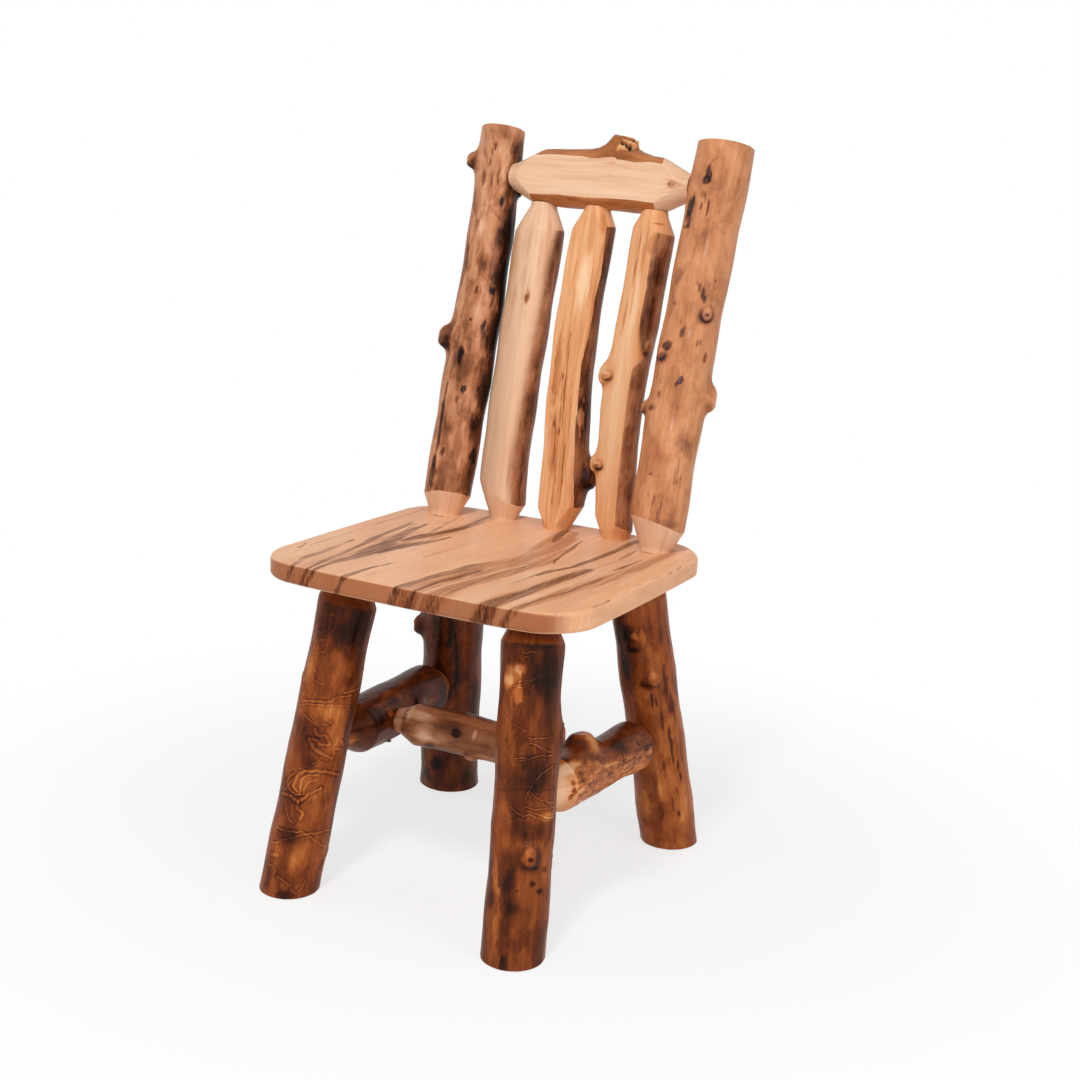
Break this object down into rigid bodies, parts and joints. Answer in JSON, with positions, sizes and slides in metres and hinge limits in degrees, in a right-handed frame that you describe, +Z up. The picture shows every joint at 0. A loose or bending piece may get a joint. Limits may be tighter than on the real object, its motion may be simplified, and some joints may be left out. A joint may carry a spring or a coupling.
{
  "type": "dining side chair",
  "caption": "Rustic peeled-log dining side chair with a glued slab seat, splayed log legs, an H of log stretchers and a leaning log back.",
  "frame": {"origin": "on the floor, under the middle of the chair's length and width", "axes": "+Z up, front of the seat towards -Y, +X to the right as one looks at the front"},
  "size_m": [0.4769, 0.5744, 1.0216],
  "materials": {
    "maple_slab": "gloss clear lacquer over pale streaky maple",
    "dark_aspen": "gloss clear lacquer over dark peeled bark layer",
    "brown_aspen": "gloss clear lacquer over brown peeled aspen",
    "pale_aspen": "gloss clear lacquer over pale sanded aspen",
    "screw_steel": "zinc plated"
  },
  "bodies": {
    "root": {"seat_board_1": "maple_slab", "seat_board_2": "maple_slab", "seat_board_3": "maple_slab", "seat_board_4": "maple_slab", "front_leg_left": "dark_aspen", "front_leg_right": "dark_aspen", "rear_leg_left": "dark_aspen", "rear_leg_right": "dark_aspen", "side_stretcher_left": "dark_aspen", "side_stretcher_right": "dark_aspen", "cross_stretcher": "brown_aspen", "back_post_left": "brown_aspen", "back_post_right": "brown_aspen", "crest_rail": "pale_aspen", "back_spindle_left": "pale_aspen", "back_spindle_centre": "pale_aspen", "back_spindle_right": "pale_aspen", "back_post_left_seat_screw": "screw_steel", "back_post_right_seat_screw": "screw_steel", "back_spindle_left_seat_screw": "screw_steel", "back_spindle_centre_seat_screw": "screw_steel", "back_spindle_right_seat_screw": "screw_steel", "crest_screw_left": "screw_steel", "crest_screw_right": "screw_steel", "spindle_screw_left": "screw_steel", "spindle_screw_centre": "screw_steel", "spindle_screw_right": "screw_steel", "front_leg_left_screw": "screw_steel", "front_leg_right_screw": "screw_steel", "rear_leg_left_screw": "screw_steel", "rear_leg_right_screw": "screw_steel", "stretcher_screw_front_left": "screw_steel", "stretcher_screw_front_right": "screw_steel", "stretcher_screw_rear_left": "screw_steel", "stretcher_screw_rear_right": "screw_steel", "cross_screw_left": "screw_steel", "cross_screw_right": "screw_steel"}
  },
  "joints": []
}
